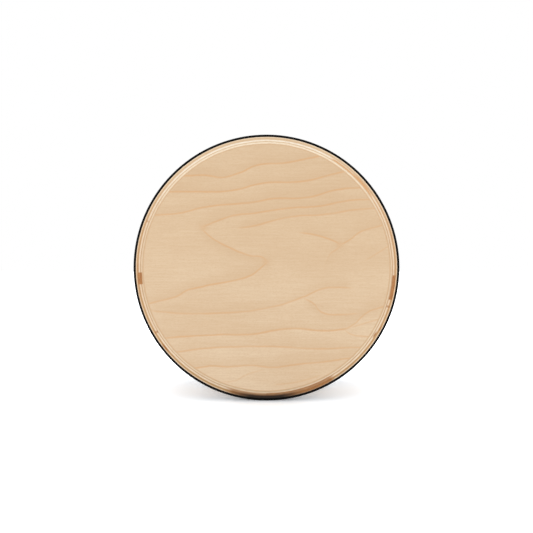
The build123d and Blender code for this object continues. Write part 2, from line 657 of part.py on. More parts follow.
# ---- feet ----
def rest_foot():
    """A rubber foot under the shell, flat on the floor, which stops the drum from rolling."""
    height = AXIS_Z - sqrt(SHELL_R**2 - (FOOT_X + FOOT_WIDTH) ** 2)
    block = Pos(FOOT_X, FOOT_Y, height / 2) * Box(FOOT_WIDTH, FOOT_LENGTH, height)
    block = fillet(block.edges().filter_by(Axis.Z), 6.0)
    block = fillet(block.edges().sort_by(Axis.Z)[:8], 2.0)
    foot = block - disc(SHELL_R, SHELL_DEPTH, FRONT_Y)
    return drill_screw_holes(foot, [FOOT_ANGLE], FOOT_SCREW_DEPTHS, FOOT_SCREW_R, SHELL_R - 1, 11.5)


def foot_screws():
    """Two screws for each foot, from inside the shell."""
    screws = [
        turned(pan_screw(FRONT_Y + d, FOOT_SCREW_R, seat_in_bore(2 * FOOT_SCREW_R), FOOT_SCREW_LENGTH), a)
        for a in FOOT_ANGLES
        for d in FOOT_SCREW_DEPTHS
    ]
    return Compound(children=screws)


# ---- the assembly ----
def assembly():
    """Every node's name and its solid or solids."""
    nodes = {
        "front_plate": front_plate(),
        "front_hoop": front_hoop(),
        "front_plate_screws": front_plate_screws(),
        "shell": shell(),
        "front_glue_ring": front_glue_ring(),
        "rear_glue_ring": rear_glue_ring(),
        "air_vent_grommet": air_vent_grommet(),
        "air_vent_washer": air_vent_washer(),
        "badge_plate": badge_plate(),
        "batter_head": batter_head(),
        "head_rim": head_rim(),
        "batter_hoop": batter_hoop(),
        "pedal_pad": pedal_pad(),
        "beater_patch": beater_patch(),
        "claw_liners": all_round(claw_liner(), LUG_ANGLES),
        "lug_nuts": all_round(lug_nut(), LUG_ANGLES),
        "lug_gaskets": all_round(lug_gasket(), LUG_ANGLES),
        "lug_screws": lug_screws(),
        "lug_washers": lug_washers(),
        "spur_screws": spur_screws(),
        "foot_screws": foot_screws(),
    }
    for name, shape in (("claw", claw()), ("tension_rod", tension_rod()), ("lug", lug())):
        for number, angle in enumerate(LUG_ANGLES, start=1):
            nodes[f"{name}_{number}"] = turned(shape, angle)
    gasket = spur_gasket()
    nodes["spur_gaskets"] = Compound(children=[gasket, mirror(gasket, Plane.YZ)])
    paired = {
        "spur_bracket": spur_bracket(),
        "spur_pivot_pin": spur_pivot_pin(),
        "spur_socket": spur_socket(),
        "spur_leg": spur_leg(),
        "spur_tip": spur_tip(),
        "spur_key_bolt": spur_key_bolt(),
        "rest_foot": rest_foot(),
    }
    for name, shape in paired.items():
        nodes[f"{name}_right"] = shape
        nodes[f"{name}_left"] = mirror(shape, Plane.YZ)
    return nodes


os.makedirs("parts", exist_ok=True)
for name, shape in assembly().items():
    export_step(shape, f"parts/{name}.step")
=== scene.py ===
"""The looks of a bass drum with a plywood front plate: materials, fine pieces and a plain studio.

Metres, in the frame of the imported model: +Z up, the plate faces -Y, the drum's axis runs along +Y.
"""
import json
import math

import bmesh
import bpy
from mathutils import Matrix, Vector


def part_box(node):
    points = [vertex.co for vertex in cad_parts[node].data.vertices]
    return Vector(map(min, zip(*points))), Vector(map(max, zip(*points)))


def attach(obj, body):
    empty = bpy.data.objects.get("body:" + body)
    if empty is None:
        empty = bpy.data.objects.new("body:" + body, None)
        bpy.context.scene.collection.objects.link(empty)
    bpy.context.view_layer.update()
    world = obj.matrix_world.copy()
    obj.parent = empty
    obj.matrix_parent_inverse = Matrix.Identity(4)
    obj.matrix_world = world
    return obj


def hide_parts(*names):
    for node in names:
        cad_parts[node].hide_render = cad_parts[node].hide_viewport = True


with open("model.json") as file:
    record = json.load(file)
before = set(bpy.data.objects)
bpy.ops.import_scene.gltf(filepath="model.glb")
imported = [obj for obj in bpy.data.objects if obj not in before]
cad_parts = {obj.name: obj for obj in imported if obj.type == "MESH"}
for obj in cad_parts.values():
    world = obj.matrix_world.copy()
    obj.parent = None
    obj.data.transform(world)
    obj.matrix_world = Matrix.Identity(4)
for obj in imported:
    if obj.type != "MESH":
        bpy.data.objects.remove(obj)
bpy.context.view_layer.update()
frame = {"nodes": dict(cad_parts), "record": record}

MM = 0.001
EDGE_WIDTH = 13.3 * MM  # the plate's shaped edge, across the face


# ---- the frame's own measures ----
def middle(node):
    """The centre of a CAD node's box."""
    low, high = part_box(node)
    return (low + high) / 2


def radius_of(node):
    """Half the width of a round CAD node that stands on the drum's axis."""
    low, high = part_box(node)
    return (high.x - low.x) / 2


AXIS_Z = middle("front_plate").z
FACE_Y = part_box("front_plate")[0].y
PLATE_R = radius_of("front_plate")
FACE_R = PLATE_R - EDGE_WIDTH
HOOP_R = radius_of("front_hoop")


def link(thing):
    """Puts a new object in the scene."""
    bpy.context.scene.collection.objects.link(thing)
    return thing


# ---- node graphs ----
class Graph:
    """A material's node tree, with short calls for the nodes that the materials here use."""

    def __init__(self, name):
        self.material = bpy.data.materials.new(name)
        self.material.use_nodes = True
        self.tree = self.material.node_tree
        self.shader = self.tree.nodes["Principled BSDF"]
        self.position = self.node("TexCoord", {}).outputs["Object"]
        self.x, self.y, self.z = self.node("SeparateXYZ", {"Vector": self.position}).outputs

    def feed(self, socket, value):
        """Links a socket to another, or sets its value."""
        if isinstance(value, bpy.types.NodeSocket):
            self.tree.links.new(value, socket)
        else:
            socket.default_value = value

    def node(self, kind, inputs, **settings):
        """A new node with its settings and inputs filled in."""
        made = self.tree.nodes.new("ShaderNode" + kind)
        for name, value in settings.items():
            setattr(made, name, value)
        for key, value in inputs.items():
            self.feed(made.inputs[key], value)
        return made

    def math(self, operation, *values):
        return self.node("Math", dict(enumerate(values)), operation=operation).outputs[0]

    def vector(self, x, y, z):
        return self.node("CombineXYZ", {0: x, 1: y, 2: z}).outputs[0]

    def stretched(self, scale):
        """The position scaled by a different amount along each axis."""
        return self.node("Mapping", {"Vector": self.position, "Scale": scale}).outputs[0]

    def noise(self, vector, scale, detail=3.0, roughness=0.55):
        inputs = {"Vector": vector, "Scale": scale, "Detail": detail, "Roughness": roughness}
        return self.node("TexNoise", inputs).outputs["Fac"]

    def remap(self, value, low, high, to_low=0.0, to_high=1.0, kind="SMOOTHSTEP"):
        inputs = {"Value": value, "From Min": low, "From Max": high, "To Min": to_low, "To Max": to_high}
        return self.node("MapRange", inputs, interpolation_type=kind).outputs["Result"]

    def mix(self, factor, first, second):
        made = self.node("Mix", {}, data_type="RGBA")
        self.feed(made.inputs[0], factor)
        self.feed(made.inputs[6], first)
        self.feed(made.inputs[7], second)
        return made.outputs[2]

    def mix_value(self, factor, first, second):
        made = self.node("Mix", {}, data_type="FLOAT")
        self.feed(made.inputs[0], factor)
        self.feed(made.inputs[2], first)
        self.feed(made.inputs[3], second)
        return made.outputs[0]

    def ramp(self, value, stops):
        """A colour ramp from (position, colour) stops."""
        made = self.node("ValToRGB", {"Fac": value})
        ramp = made.color_ramp
        for place, colour in stops[2:]:
            ramp.elements.new(place)
        for element, (place, colour) in zip(ramp.elements, stops):
            element.position = place
            element.color = colour
        return made.outputs["Color"]

    def curve(self, value, points):
        """A smooth curve through (x, y) points, both from -1 to 1."""
        inputs = {"Value": self.math("MULTIPLY_ADD", value, 0.5, 0.5)}
        made = self.node("FloatCurve", inputs)
        line = made.mapping.curves[0]
        halves = [((x + 1) / 2, (y + 1) / 2) for x, y in points]
        line.points[0].location = halves[0]
        line.points[1].location = halves[-1]
        for x, y in halves[1:-1]:
            line.points.new(x, y)
        made.mapping.update()
        return self.math("MULTIPLY_ADD", made.outputs[0], 2.0, -1.0)

    def within(self, value, low, high, soft):
        """1 between low and high, falling to 0 over a soft border on each side."""
        rise = self.remap(value, low - soft, low + soft)
        fall = self.remap(value, high - soft, high + soft, 1.0, 0.0)
        return self.math("MULTIPLY", rise, fall)

    def turn(self):
        """Degrees clockwise from the top, seen from the front."""
        up = self.math("SUBTRACT", self.z, AXIS_Z)
        return self.math("DEGREES", self.math("ARCTAN2", self.x, up))

    def radius(self):
        """Distance from the drum's axis."""
        up = self.math("SUBTRACT", self.z, AXIS_Z)
        squares = self.math("MULTIPLY_ADD", up, up, self.math("MULTIPLY", self.x, self.x))
        return self.math("SQRT", squares)

    def wrapped(self, along, across, outwards):
        """The position unrolled round the drum's axis, scaled along the turn, the axis and the radius."""
        arc = self.math("MULTIPLY", self.turn(), math.radians(HOOP_R) * along)
        depth = self.math("MULTIPLY", self.y, across)
        return self.vector(arc, depth, self.math("MULTIPLY", self.radius(), outwards))

    def bump(self, height, depth):
        """Raises the surface by height, 0 to 1, times depth in metres."""
        made = self.node("Bump", {"Height": height, "Distance": depth})
        self.feed(self.shader.inputs["Normal"], made.outputs["Normal"])

    def set(self, **values):
        """Sets the shader's own sockets, named in lower case with underscores."""
        names = {s.name.lower().replace(" ", "_"): s for s in self.shader.inputs}
        for key, value in values.items():
            self.feed(names[key], value)


def rgb(red, green, blue):
    """A linear colour from 0 to 255 screen values."""
    def linear(value):
        value /= 255
        return value / 12.92 if value <= 0.04045 else ((value + 0.055) / 1.055) ** 2.4
    return (linear(red), linear(green), linear(blue), 1.0)


# ---- the plywood plate ----
# Growth lines on the face: how strong the line is, which side of it the wood darkens towards (1 above,
# -1 below, 0 neither), and a smooth curve through points (across, up) in units of the plate's radius.
GROWTH_LINES = [
    (1.0, 1, [(-0.80, 0.69), (-0.63, 0.696), (-0.47, 0.70), (-0.34, 0.685), (-0.21, 0.716), (-0.06, 0.78),
              (0.13, 0.792), (0.33, 0.832), (0.6, 0.88)]),
    (1.0, 1, [(-0.90, 0.57), (-0.55, 0.576), (-0.33, 0.578), (-0.21, 0.593), (-0.10, 0.625), (0.03, 0.645),
              (0.19, 0.648), (0.33, 0.663), (0.51, 0.71), (0.80, 0.77)]),
    (1.0, 1, [(-1.0, 0.39), (-0.84, 0.40), (-0.64, 0.415), (-0.53, 0.446), (-0.43, 0.465), (-0.10, 0.497),
              (0.03, 0.52), (0.33, 0.536), (0.53, 0.59), (0.72, 0.609), (1.0, 0.64)]),
    (1.0, 1, [(-0.495, 0.306), (-0.36, 0.358), (-0.25, 0.394), (-0.11, 0.41), (0.16, 0.449), (0.40, 0.467),
              (0.64, 0.509), (0.77, 0.516), (1.0, 0.53)]),
    (1.0, -1, [(-0.495, 0.306), (-0.47, 0.274), (-0.43, 0.239), (-0.36, 0.19), (-0.28, 0.152), (-0.21, 0.119),
               (-0.11, 0.089), (-0.04, 0.081), (0.01, 0.045)]),
    (1.0, 1, [(-1.0, -0.31), (-0.89, -0.274), (-0.79, -0.248), (-0.67, -0.212), (-0.60, -0.172),
              (-0.47, -0.141), (-0.21, -0.089), (-0.12, -0.06), (-0.06, -0.016), (0.01, 0.045)]),
    (0.85, 1, [(-0.20, 0.30), (-0.09, 0.318), (0.08, 0.364), (0.18, 0.386), (0.40, 0.40), (0.73, 0.443),
               (1.0, 0.46)]),
    (0.9, 1, [(0.27, 0.262), (0.35, 0.25), (0.43, 0.231), (0.51, 0.203), (0.565, 0.176)]),
    (0.95, 1, [(0.565, 0.176), (0.62, 0.203), (0.72, 0.275), (0.84, 0.309), (1.0, 0.36)]),
    (0.7, -1, [(0.455, 0.05), (0.49, 0.111), (0.53, 0.137), (0.565, 0.170)]),
    (0.8, 1, [(-0.86, -0.33), (-0.77, -0.337), (-0.60, -0.348), (-0.25, -0.34), (-0.11, -0.326),
              (0.05, -0.296), (0.16, -0.267), (0.29, -0.218), (0.43, -0.158), (0.54, -0.15), (0.63, -0.152)]),
    (0.7, -1, [(0.30, -0.24), (0.37, -0.283), (0.40, -0.326), (0.45, -0.35), (0.56, -0.356), (0.68, -0.35)]),
    (0.9, 1, [(-0.95, -0.56), (-0.77, -0.536), (-0.58, -0.52), (-0.39, -0.51), (-0.11, -0.504),
              (0.14, -0.466), (0.27, -0.465), (0.38, -0.476), (0.49, -0.477), (0.62, -0.46)]),
    (0.8, 1, [(0.60, -0.465), (0.67, -0.425), (0.72, -0.375), (0.77, -0.337), (0.84, -0.31), (1.0, -0.27)]),
    (0.5, 0, [(0.64, -0.455), (0.75, -0.419), (0.95, -0.37)]),
    (0.7, 0, [(0.60, -0.475), (0.63, -0.50), (0.66, -0.512), (0.73, -0.52), (0.90, -0.53)]),
    (0.75, 1, [(-0.85, -0.67), (-0.67, -0.64), (-0.52, -0.618), (-0.25, -0.601), (0.13, -0.601),
               (0.35, -0.616), (0.58, -0.61), (0.9, -0.6)]),
    (0.85, 1, [(-0.75, -0.77), (-0.54, -0.762), (-0.43, -0.748), (-0.28, -0.751), (-0.12, -0.742),
               (0.05, -0.757), (0.19, -0.74), (0.51, -0.705), (0.8, -0.66)]),
    (0.5, 0, [(-0.33, -0.864), (-0.23, -0.855), (-0.17, -0.822), (-0.04, -0.78)]),
    (0.35, 1, [(0.06, -0.89), (0.22, -0.869), (0.40, -0.82)]),
    (0.5, 0, [(0.76, 0.06), (0.84, 0.108), (0.95, 0.18)]),
]
FACE_TONE = rgb(218, 192, 159)
FACE_PAINTED_BOUNCE_TONE = rgb(225, 203, 174)  # towards the bottom of the face: painted bounce light from the floor
FACE_SHADE = rgb(208, 178, 143)
FIBRE_TONE = rgb(200, 166, 128)
GROWTH_TONE = rgb(214, 163, 112)
# Where growth lines meet in a point the wood is darker: across and up, in units of the plate's radius.
GROWTH_TIPS = [(-0.01, 0.045), (0.555, 0.175), (-0.48, 0.306)]

# The plies at the plate's shaped edge: depth behind the face in mm, the colour there at the sides, where the
# plate shows end grain, and the colour at the top, where it shows long grain and is also painted paler, as
# light from above would make it.
PLIES = [
    (0.0, rgb(192, 161, 124), rgb(222, 197, 163)),
    (0.5, rgb(213, 189, 157), rgb(238, 222, 197)),
    (1.55, rgb(188, 152, 115), rgb(214, 188, 153)),
    (2.5, rgb(219, 195, 165), rgb(240, 227, 207)),
    (4.4, rgb(178, 137, 90), rgb(212, 184, 148)),
    (6.95, rgb(206, 173, 134), rgb(219, 192, 156)),
    (7.9, rgb(222, 194, 162), rgb(238, 216, 186)),
]
SIDE_TONES, TOP_TONES_PAINTED_LIT = 1, 2  # the colour columns of PLIES
PLATE_THICKNESS = 12.0  # mm
PLY_BORDER = 0.14  # mm either side of a boundary, over which one ply's colour turns into the next
ARRIS_TONE = rgb(206, 171, 134)
# Marks in the edge: from and to in degrees clockwise from the top, from and to in depth in mm, how strongly
# they show, and how many degrees their ends fade over. Streaks are orange heartwood, patches dark fillets.
EDGE_STREAKS = [(31, 56, 2.4, 3.9, 0.9, 2.0), (44, 53, 3.5, 5.0, 0.85, 2.0), (56, 66, 2.2, 3.0, 0.5, 2.0)]
EDGE_PATCHES = [
    (93.5, 104.6, 2.4, 6.9, 0.95, 0.25), (107.3, 108.3, 2.0, 6.3, 0.6, 0.3),
    (117, 119.5, 5.2, 7.7, 0.7, 1.0), (120.5, 123, 2.9, 4.8, 0.85, 1.0),
    (149, 186, 1.7, 8.8, 0.8, 1.5), (-186, -163, 2.3, 8.8, 0.75, 2.5),
    (-130.5, -126.5, 4.6, 7.7, 0.85, 1.2), (-120.9, -119.9, 2.0, 6.3, 0.7, 0.4),
    (-97.6, -92.2, 0.9, 5.9, 0.95, 0.25), (-92.2, -88, 4.4, 5.9, 0.7, 1.0),
    (-69.2, -68.3, 2.0, 6.3, 0.45, 0.3),
]
STREAK_TONE = rgb(206, 152, 98)
PATCH_TONE = rgb(184, 122, 56)
PATCH_DARK = rgb(142, 86, 34)
PAINTED_BOUNCE_LIFT = (1.17, 1.25, 1.35)  # painted bounce light: the edge is paler round its lower half
# Painted contact shade: the bottom of the edge darkens to near-black towards the floor.
PAINTED_CONTACT_SHADE = rgb(34, 26, 20)


def growth_lines(g, across, up):
    """How strongly growth lines show at each point of the face, and how far their darker sides do, 0 to 1."""
    lines = 0.0
    shade = 0.0
    for strength, side, points in GROWTH_LINES:
        start, end = points[0][0], points[-1][0]
        above = g.math("SUBTRACT", up, g.curve(across, points))
        extent = g.within(across, start, end, 0.04)
        off = g.math("ABSOLUTE", above)
        core = g.remap(off, 0.001, 0.0115, strength, 0.0)
        lines = g.math("MAXIMUM", lines, g.math("MULTIPLY", core, extent))
        if side:
            dark_side = g.math("MULTIPLY", above, side)
            fade = g.remap(dark_side, 0.0, 0.11, strength, 0.0)
            begin = g.remap(dark_side, -0.008, 0.006)
            side_shade = g.math("MULTIPLY", g.math("MULTIPLY", fade, begin), extent)
            shade = g.math("MAXIMUM", shade, side_shade)
    for tip_across, tip_up in GROWTH_TIPS:
        away = g.node("VectorMath", {0: g.vector(across, up, 0.0), 1: (tip_across, tip_up, 0.0)},
                      operation="DISTANCE").outputs["Value"]
        shade = g.math("MAXIMUM", shade, g.remap(away, 0.0, 0.09, 1.0, 0.0))
        lines = g.math("MAXIMUM", lines, g.remap(away, 0.005, 0.04, 0.45, 0.0))
    return lines, shade


def ply_bands(g, level, column):
    """The plies' colours by depth behind the face in mm, from one column of PLIES."""
    stops = [(0.0, PLIES[0][column])]
    for before, after in zip(PLIES, PLIES[1:]):
        stops.append(((after[0] - PLY_BORDER) / PLATE_THICKNESS, before[column]))
        stops.append(((after[0] + PLY_BORDER) / PLATE_THICKNESS, after[column]))
    return g.ramp(g.math("DIVIDE", level, PLATE_THICKNESS), stops)


def edge_plies(g, depth):
    """The colour of the plate's shaped edge by depth behind the face in mm, with painted top light, bounce
    and contact shade.
    """
    turn = g.turn()
    wander = g.noise(g.wrapped(1.0, 1.0, 1.0), 30.0, 3.0)
    level = g.math("ADD", depth, g.math("MULTIPLY_ADD", wander, 0.5, -0.25))
    upward = g.math("COSINE", g.math("RADIANS", turn))
    side, top = ply_bands(g, level, SIDE_TONES), ply_bands(g, level, TOP_TONES_PAINTED_LIT)
    # The top's plies are paler partly for their long grain and partly as painted light from above.
    plies = g.mix(g.remap(upward, 0.15, 0.95), side, top)
    # Painted bounce light from the floor: the lower half of the edge is made paler.
    painted_bounce = g.node("VectorMath", {0: plies, 1: PAINTED_BOUNCE_LIFT}, operation="MULTIPLY").outputs["Vector"]
    plies = g.mix(g.remap(upward, -0.1, -0.7), plies, painted_bounce)
    fibres = g.noise(g.wrapped(0.5, 8.0, 5.0), 240.0, 4.0, 0.65)
    plies = g.mix(g.remap(fibres, 0.42, 0.72, 0.0, 0.4), plies, PATCH_TONE)
    mottled = g.mix(g.remap(fibres, 0.35, 0.62), PATCH_TONE, PATCH_DARK)
    for tone, marks in ((STREAK_TONE, EDGE_STREAKS), (mottled, EDGE_PATCHES)):
        for start, end, near, far, strength, soft in marks:
            span = g.within(turn, start, end, soft)
            band = g.within(level, near, far, 0.3)
            plies = g.mix(g.math("MULTIPLY", g.math("MULTIPLY", span, band), strength), plies, tone)
    # Painted contact shade: near-black round the bottom of the edge, darker further behind the face.
    from_bottom = g.math("SUBTRACT", 180.0, g.math("ABSOLUTE", turn))
    painted_shade_mask = g.math("MULTIPLY", g.remap(from_bottom, 6.0, 19.0, 1.0, 0.0), g.remap(level, 1.7, 5.9))
    return g.mix(g.math("MULTIPLY", painted_shade_mask, 0.97), plies, PAINTED_CONTACT_SHADE)


def birch_plate():
    """Rotary-cut birch veneer under a thin satin lacquer, with painted bounce light low on the face and
    painted light and shade on the edge.
    """
    g = Graph("birch_plate")
    across = g.math("DIVIDE", g.x, PLATE_R)
    up = g.math("DIVIDE", g.math("SUBTRACT", g.z, AXIS_Z), PLATE_R)
    wobble = g.noise(g.stretched((1.0, 1.0, 2.0)), 45.0, 3.0)
    up_wobbled = g.math("MULTIPLY_ADD", g.math("SUBTRACT", wobble, 0.5), 0.012, up)
    lines, shade = growth_lines(g, across, up_wobbled)
    patchy = g.noise(g.position, 16.0, 2.0)
    lines = g.math("MULTIPLY", lines, g.remap(patchy, 0.3, 0.6, 0.6, 1.0))
    cloud = g.noise(g.stretched((0.6, 1.0, 1.6)), 9.0, 3.0)
    streaks = g.noise(g.stretched((0.05, 1.0, 1.0)), 330.0, 3.0, 0.7)
    fibres = g.noise(g.stretched((0.12, 1.0, 1.6)), 900.0, 3.0)
    flecks = g.noise(g.stretched((0.5, 1.0, 1.2)), 700.0, 2.0, 0.6)
    # Painted bounce light: the face is paler towards the bottom.
    plain = g.mix(g.remap(up, 0.3, -0.9, kind="LINEAR"), FACE_TONE, FACE_PAINTED_BOUNCE_TONE)
    tone = g.mix(g.remap(cloud, 0.38, 0.66, 0.0, 0.4), plain, FACE_SHADE)
    tone = g.mix(g.math("MULTIPLY", shade, 0.55), tone, FACE_SHADE)
    tone = g.mix(g.math("MULTIPLY", lines, 0.7), tone, GROWTH_TONE)
    tone = g.mix(g.remap(streaks, 0.36, 0.66, 0.0, 0.28, "LINEAR"), tone, FIBRE_TONE)
    tone = g.mix(g.remap(flecks, 0.45, 0.72, 0.0, 0.32, "LINEAR"), tone, FIBRE_TONE)
    tone = g.mix(g.remap(fibres, 0.40, 0.66, 0.0, 0.2, "LINEAR"), tone, FIBRE_TONE)
    arris = g.remap(g.radius(), FACE_R - 1.5 * MM, FACE_R - 0.9 * MM)
    tone = g.mix(g.math("MULTIPLY", arris, 0.8), tone, ARRIS_TONE)
    depth = g.math("DIVIDE", g.math("SUBTRACT", g.y, FACE_Y), MM)
    on_edge = g.remap(depth, 0.02, 0.1)
    colour = g.mix(on_edge, tone, edge_plies(g, depth))
    grain = g.math("MULTIPLY_ADD", streaks, 0.5, fibres)
    g.bump(g.math("ADD", grain, g.math("MULTIPLY", lines, 0.4)), 0.03 * MM)
    roughness = g.remap(fibres, 0.3, 0.7, 0.42, 0.56, "LINEAR")
    g.set(base_color=colour, roughness=roughness, specular_ior_level=0.35)
    return g.material


def birch_shell():
    """Birch veneer wrapped round the shell, its grain running round the drum, under a satin lacquer."""
    g = Graph("birch_shell")
    slow = g.noise(g.wrapped(0.5, 1.8, 0.0), 8.0, 1.2)
    wobble = g.noise(g.wrapped(1.0, 2.0, 0.0), 60.0, 2.0)
    wander = g.math("MULTIPLY_ADD", wobble, 0.16, g.math("MULTIPLY", slow, 5.0))
    rings = g.math("MULTIPLY_ADD", g.y, 50.0, wander)
    phase = g.math("FRACT", rings)
    line = g.math("MAXIMUM", g.remap(phase, 0.0, 0.06, 1.0, 0.0), g.remap(phase, 0.6, 1.0, 0.0, 0.8))
    fibres = g.noise(g.wrapped(0.10, 1.6, 1.0), 900.0, 3.0)
    cloud = g.noise(g.wrapped(0.5, 1.2, 0.0), 9.0, 2.0)
    tone = g.mix(g.remap(cloud, 0.35, 0.65), rgb(208, 177, 140), rgb(197, 163, 124))
    tone = g.mix(g.math("MULTIPLY", line, 0.6), tone, rgb(174, 132, 90))
    tone = g.mix(g.remap(fibres, 0.4, 0.66, 0.0, 0.25, "LINEAR"), tone, rgb(160, 124, 88))
    g.bump(fibres, 0.03 * MM)
    g.set(base_color=tone, roughness=g.remap(fibres, 0.3, 0.7, 0.34, 0.46, "LINEAR"), coat_weight=0.25,
          coat_roughness=0.2)
    return g.material


def black_hoop():
    """Black satin lacquer over wood, with the grain just showing through and a little dust."""
    g = Graph("black_hoop")
    grain = g.noise(g.wrapped(0.06, 1.0, 1.0), 700.0, 3.0)
    dust = g.noise(g.position, 60.0, 4.0)
    tone = g.mix(g.remap(dust, 0.45, 0.75, 0.0, 0.5), rgb(10, 10, 10), rgb(17, 16, 16))
    tone = g.mix(g.remap(grain, 0.5, 0.75, 0.0, 0.4), tone, rgb(6, 6, 6))
    g.bump(grain, 0.05 * MM)
    g.set(base_color=tone, roughness=g.remap(dust, 0.3, 0.7, 0.42, 0.56), specular_ior_level=0.08)
    return g.material


def head_film():
    """Coated white film: a sprayed, sandy coat that stops short of the clear, smoother border."""
    g = Graph("head_film")
    radius = g.radius()
    coat = g.noise(g.position, 2600.0, 2.0, 0.6)
    cloud = g.noise(g.position, 14.0, 3.0)
    clear_border = 14 * MM
    coated_r = radius_of("batter_head") - clear_border
    border = g.remap(radius, coated_r, coated_r + 1.5 * MM)
    tone = g.mix(g.remap(cloud, 0.35, 0.65), rgb(204, 202, 195), rgb(200, 198, 190))
    middle_r = radius_of("beater_patch")
    worn = g.math("MULTIPLY", g.remap(radius, middle_r, 2.2 * middle_r, 0.35, 0.0), g.remap(cloud, 0.2, 0.8))
    tone = g.mix(worn, tone, rgb(172, 168, 158))
    tone = g.mix(border, tone, rgb(184, 184, 180))
    g.bump(g.math("MULTIPLY", coat, g.math("SUBTRACT", 1.0, border)), 0.06 * MM)
    g.set(base_color=tone, roughness=g.mix_value(border, 0.62, 0.28))
    return g.material


def patch_cloth():
    """The beater patch: tightly woven cloth set in a clear film."""
    g = Graph("patch_cloth")
    threads = 900.0
    warp = g.math("SINE", g.math("MULTIPLY", g.x, threads * math.tau))
    weft = g.math("SINE", g.math("MULTIPLY", g.z, threads * math.tau))
    weave = g.math("MULTIPLY_ADD", g.math("MULTIPLY", warp, weft), 0.5, 0.5)
    cloud = g.noise(g.position, 60.0, 3.0)
    tone = g.mix(g.remap(cloud, 0.35, 0.7), rgb(186, 183, 175), rgb(174, 171, 162))
    tone = g.mix(g.math("MULTIPLY", weave, 0.3), tone, rgb(136, 132, 124))
    g.bump(weave, 0.06 * MM)
    g.set(base_color=tone, roughness=g.remap(cloud, 0.3, 0.7, 0.4, 0.55))
    return g.material


def rubber():
    """Moulded black rubber with a fine matte skin and a bloom of grey."""
    g = Graph("rubber")
    skin = g.noise(g.position, 3500.0, 2.0)
    bloom = g.noise(g.position, 90.0, 4.0)
    tone = g.mix(g.remap(bloom, 0.4, 0.75, 0.0, 0.7), rgb(24, 24, 25), rgb(44, 43, 42))
    g.bump(skin, 0.04 * MM)
    g.set(base_color=tone, roughness=g.remap(bloom, 0.3, 0.7, 0.62, 0.8), specular_ior_level=0.35)
    return g.material


def soft_plastic():
    """The black plastic of liners and gaskets."""
    g = Graph("soft_plastic")
    skin = g.noise(g.position, 1800.0, 2.0)
    tone = g.mix(g.remap(skin, 0.35, 0.7), rgb(30, 30, 31), rgb(42, 42, 42))
    g.bump(skin, 0.03 * MM)
    g.set(base_color=tone, roughness=g.remap(skin, 0.3, 0.7, 0.5, 0.62))
    return g.material


def metal(name, clean, dull, smooth, rough, brushed=0.0):
    """A metal with smudges that dull it, and brush marks round the drum if brushed is over 0."""
    g = Graph(name)
    smudge = g.noise(g.position, 70.0, 5.0, 0.6)
    fine = g.noise(g.position, 1400.0, 3.0)
    marks = g.noise(g.wrapped(0.04, 1.0, 1.0), 2200.0, 2.0) if brushed else fine
    dulled = g.remap(smudge, 0.42, 0.72)
    g.bump(marks, (0.004 + 0.03 * brushed) * MM)
    g.set(base_color=g.mix(dulled, clean, dull), roughness=g.mix_value(dulled, smooth, rough), metallic=1.0)
    return g.material


MATERIALS = {
    "birch_plate": birch_plate(),
    "shell_birch": birch_shell(),
    "black_hoop": black_hoop(),
    "head_film": head_film(),
    "patch": patch_cloth(),
    "rubber": rubber(),
    "liner_plastic": soft_plastic(),
    "aluminium": metal("aluminium", rgb(188, 189, 191), rgb(160, 161, 163), 0.28, 0.42, brushed=1.0),
    "brass": metal("brass", rgb(214, 176, 104), rgb(176, 138, 80), 0.16, 0.32),
    "chrome": metal("chrome", rgb(196, 199, 204), rgb(172, 174, 178), 0.05, 0.16),
    "zinc_steel": metal("zinc_steel", rgb(174, 178, 184), rgb(138, 140, 144), 0.24, 0.4),
}


def dress_cad_nodes():
    """Gives every CAD node the material of its slot in the record."""
    for part in frame["record"]["subparts"]:
        mesh = frame["nodes"][part["node"]].data
        mesh.materials.clear()
        mesh.materials.append(MATERIALS[part["material_slot"]])


# ---- fine pieces that stand for plainer CAD nodes ----
TURNED_STEPS = 36  # sides of a turned piece
THREAD_DEPTH = 0.45 * MM
ROD_THREAD_R = 3.0 * MM
ROD_THREAD_LENGTH = 52 * MM
ROD_PITCH = 1.0 * MM
COLLAR_BEHIND_SHELL = 15.1 * MM  # the collar's front, behind the rear edge of the shell
BAR_R = 4.4 * MM  # the crossbar's largest radius
# Outlines in mm as (distance along, radius): a rod's neck from its collar, and half of its crossbar.
ROD_NECK = [(0, 3.8), (1.5, 3.2), (4, 3.1), (8, 3.3), (11, 3.8)]
HALF_BAR = [(0, 3.9), (4, 3.55), (8, 3.35), (11, 3.5), (13, 3.8), (14.4, 4.2), (15.5, 4.38), (16.6, 4.2),
            (17.4, 3.3), (17.85, 2.0), (18, 0.6)]
LEG_THREAD_R = 4.0 * MM
LEG_THREAD_LENGTH = 27 * MM
LEG_PITCH = 1.25 * MM
SPIKE_LENGTH = 6 * MM
SPIKE = [(-0.5, 3.5), (0, 3.4), (3, 1.9), (5.6, 0.7), (6, 0.3)]  # a spur leg's point, in mm like those above


def lathe(body, rows, place):
    """Adds a closed turned shape. rows holds (distance along its axis, radius), where a radius may be a
    function of the angle, and place turns (along, across, up) into a point."""
    rings = []
    for along, radius in rows:
        ring = []
        for step in range(TURNED_STEPS):
            angle = step * math.tau / TURNED_STEPS
            reach = radius(angle) if callable(radius) else radius
            ring.append(body.verts.new(place(along, reach * math.cos(angle), reach * math.sin(angle))))
        rings.append(ring)
    for before, after in zip(rings, rings[1:]):
        for near, far in zip(range(TURNED_STEPS), [*range(1, TURNED_STEPS), 0]):
            body.faces.new((before[near], before[far], after[far], after[near]))
    body.faces.new(rings[0])
    body.faces.new(rings[-1])


